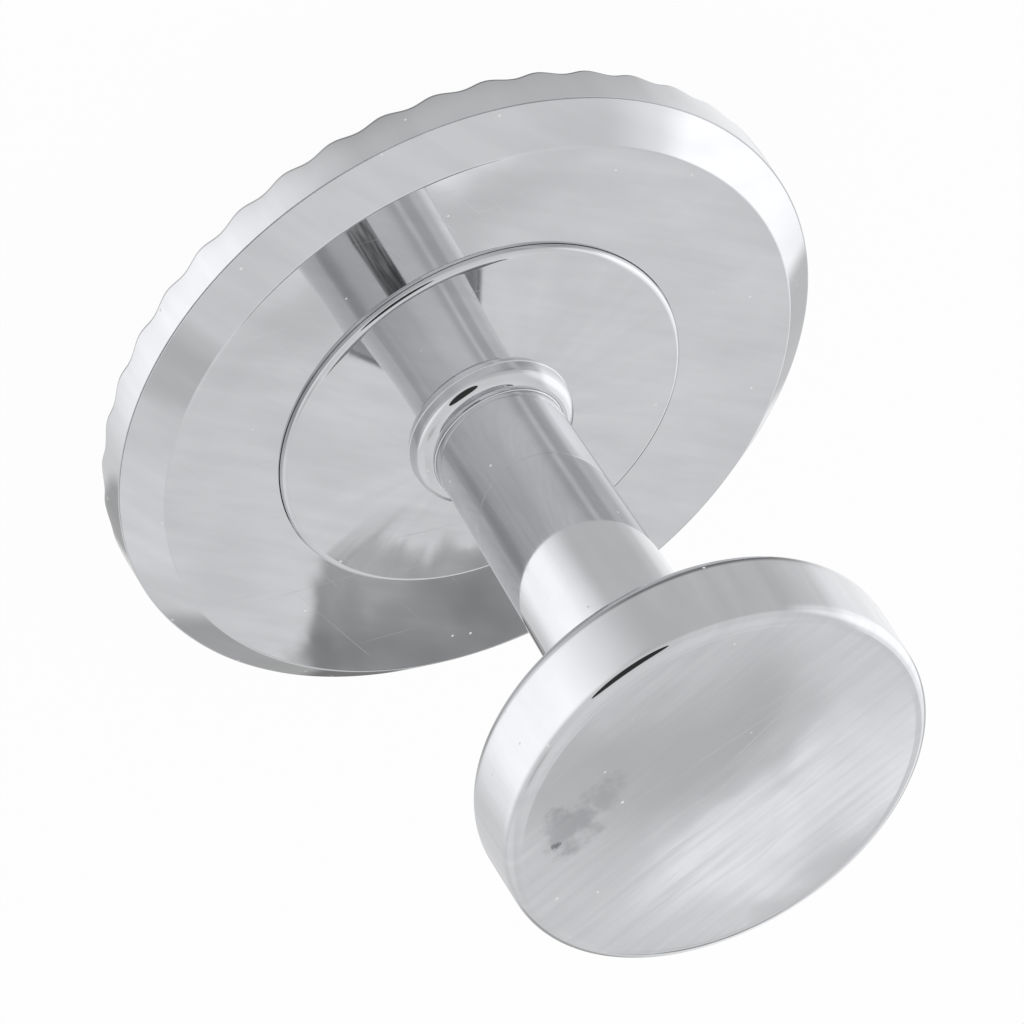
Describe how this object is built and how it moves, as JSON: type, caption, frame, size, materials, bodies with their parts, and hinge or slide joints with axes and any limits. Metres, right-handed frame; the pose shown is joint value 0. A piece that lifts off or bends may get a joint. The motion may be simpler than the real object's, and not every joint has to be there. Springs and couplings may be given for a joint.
{
  "type": "cufflink",
  "caption": "Fixed-back cufflink: a round head with a fluted bezel and a chamfered back, a flanged post with a collar, and a round button that holds a shirt cuff closed.",
  "frame": {"origin": "centre of the front ring of the head, on the surface that the head lies on face down", "axes": "+Z along the post, from the front of the head to the button; X and Y across the head"},
  "size_m": [0.018, 0.018, 0.0169],
  "materials": {
    "polished_metal": "mirror polished white metal with fine wear",
    "satin_face": "satin, brushed from the centre",
    "turned_brass": "turned",
    "plain_steel": "plain"
  },
  "bodies": {
    "root": {"fluted_bezel": "polished_metal", "case_back": "polished_metal", "post": "polished_metal", "button": "polished_metal", "face_disc": "satin_face", "spacer_ring": "turned_brass", "post_screw": "plain_steel", "locating_pin": "plain_steel", "button_stud": "plain_steel"}
  },
  "joints": []
}
